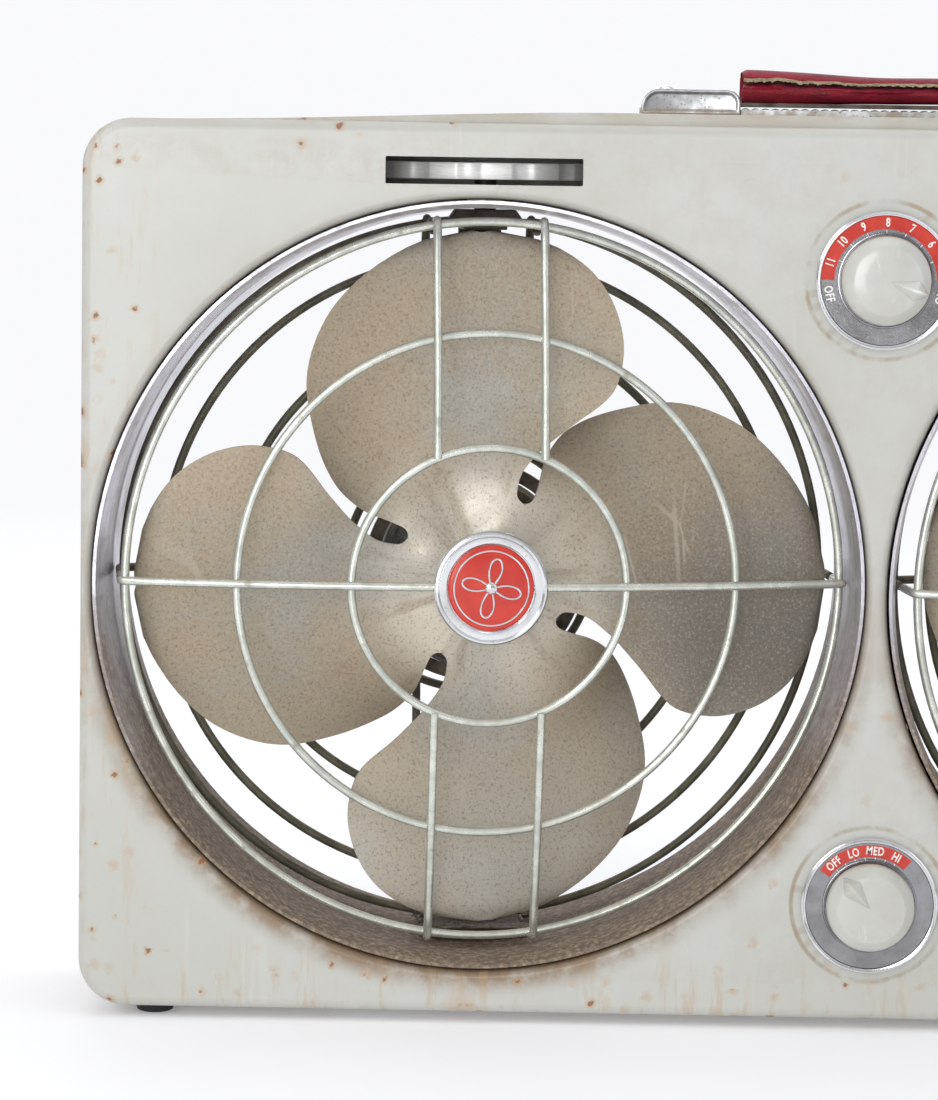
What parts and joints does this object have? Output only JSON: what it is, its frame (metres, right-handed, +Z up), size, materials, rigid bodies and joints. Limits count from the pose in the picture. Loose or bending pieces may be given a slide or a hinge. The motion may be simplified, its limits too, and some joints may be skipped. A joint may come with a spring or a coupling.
{
  "type": "twin-fan box ventilator",
  "caption": "Portable twin-fan box ventilator: two caged four-blade fans turn about upright axes in one pressed steel case with a handle and two dials.",
  "frame": {"origin": "bottom centre of the whole object's box, on the surface that the feet stand on", "axes": "+X to the right seen from the front, +Y towards the back, +Z up"},
  "size_m": [0.5732, 0.1076, 0.3468],
  "materials": {
    "case_enamel": "aged pale grey enamel, chipped and specked with rust",
    "liner_steel": "bare drawn steel with grime",
    "chrome_trim": "bright plate, a little pitted",
    "guard_wire": "dull zinc-plated wire",
    "dark_wire": "oxidised dark wire",
    "blade_metal": "grey paint under baked dust",
    "spring_steel": "dull",
    "lamination_steel": "stacked sheet",
    "motor_paint": "black enamel",
    "badge_enamel": "glossy red enamel",
    "knob_plastic": "moulded cream plastic",
    "grip_vinyl": "worn crimson vinyl",
    "rubber": "moulded black",
    "brass": "turned",
    "switch_plastic": "moulded phenolic"
  },
  "bodies": {
    "case": {"front_shell": "case_enamel", "rear_shell": "case_enamel", "left_bore_liner": "liner_steel", "right_bore_liner": "liner_steel", "left_upper_bush": "brass", "left_lower_bush": "brass", "right_upper_bush": "brass", "right_lower_bush": "brass", "front_left_foot": "rubber", "front_right_foot": "rubber", "rear_left_foot": "rubber", "rear_right_foot": "rubber", "cord_inlet": "rubber", "left_handle_cap": "chrome_trim", "right_handle_cap": "chrome_trim", "left_cap_screw": "chrome_trim", "right_cap_screw": "chrome_trim", "handle_strip": "chrome_trim", "thermostat_bezel": "chrome_trim", "thermostat_body": "brass", "speed_bezel": "chrome_trim", "speed_switch_body": "switch_plastic"},
    "thermostat_dial": {"thermostat_knob": "knob_plastic", "thermostat_spindle": "brass"},
    "speed_dial": {"speed_knob": "knob_plastic", "speed_spindle": "brass"},
    "handle": {"handle_grip": "grip_vinyl", "handle_strap": "spring_steel"},
    "left_head": {"left_front_guard": "guard_wire", "left_rear_guard": "dark_wire", "left_badge_rim": "chrome_trim", "left_badge_disc": "badge_enamel", "left_motor_front_bell": "motor_paint", "left_motor_rear_bell": "motor_paint", "left_motor_stator": "lamination_steel", "left_motor_yoke": "spring_steel", "left_upper_pivot": "spring_steel", "left_lower_pivot": "spring_steel", "left_thumbwheel": "chrome_trim"},
    "left_blades": {"left_propeller": "blade_metal", "left_hub_collar": "spring_steel", "left_motor_shaft": "spring_steel", "left_rotor": "lamination_steel"},
    "right_head": {"right_front_guard": "guard_wire", "right_rear_guard": "dark_wire", "right_badge_rim": "chrome_trim", "right_badge_disc": "badge_enamel", "right_motor_front_bell": "motor_paint", "right_motor_rear_bell": "motor_paint", "right_motor_stator": "lamination_steel", "right_motor_yoke": "spring_steel", "right_upper_pivot": "spring_steel", "right_lower_pivot": "spring_steel", "right_thumbwheel": "chrome_trim"},
    "right_blades": {"right_propeller": "blade_metal", "right_hub_collar": "spring_steel", "right_motor_shaft": "spring_steel", "right_rotor": "lamination_steel"}
  },
  "joints": [
    {"name": "left_head_swivel", "type": "hinge", "parent": "case", "child": "left_head", "pos_m": [-0.1432, 0.0054, 0.1592], "axis": [0, 0, 1], "range_deg": [-6.5, 173.5]},
    {"name": "right_head_swivel", "type": "hinge", "parent": "case", "child": "right_head", "pos_m": [0.1432, 0.0054, 0.1592], "axis": [0, 0, 1], "range_deg": [-6.5, 173.5]},
    {"name": "left_blade_spin", "type": "hinge", "parent": "left_head", "child": "left_blades", "pos_m": [-0.1432, 0.0054, 0.1592], "axis": [-0.1132, 0.9936, 0], "continuous": true},
    {"name": "right_blade_spin", "type": "hinge", "parent": "right_head", "child": "right_blades", "pos_m": [0.1432, 0.0054, 0.1592], "axis": [-0.1132, 0.9936, 0], "continuous": true},
    {"name": "thermostat_knob_turn", "type": "hinge", "parent": "case", "child": "thermostat_dial", "pos_m": [0, -0.0386, 0.27186], "axis": [0, 1, 0], "range_deg": [-212, 0]},
    {"name": "speed_knob_turn", "type": "hinge", "parent": "case", "child": "speed_dial", "pos_m": [0, -0.0386, 0.04654], "axis": [0, 1, 0], "range_deg": [0, 75]},
    {"name": "handle_lift", "type": "slide", "parent": "case", "child": "handle", "axis": [0, 0, 1], "range_m": [0, 0.003]}
  ]
}
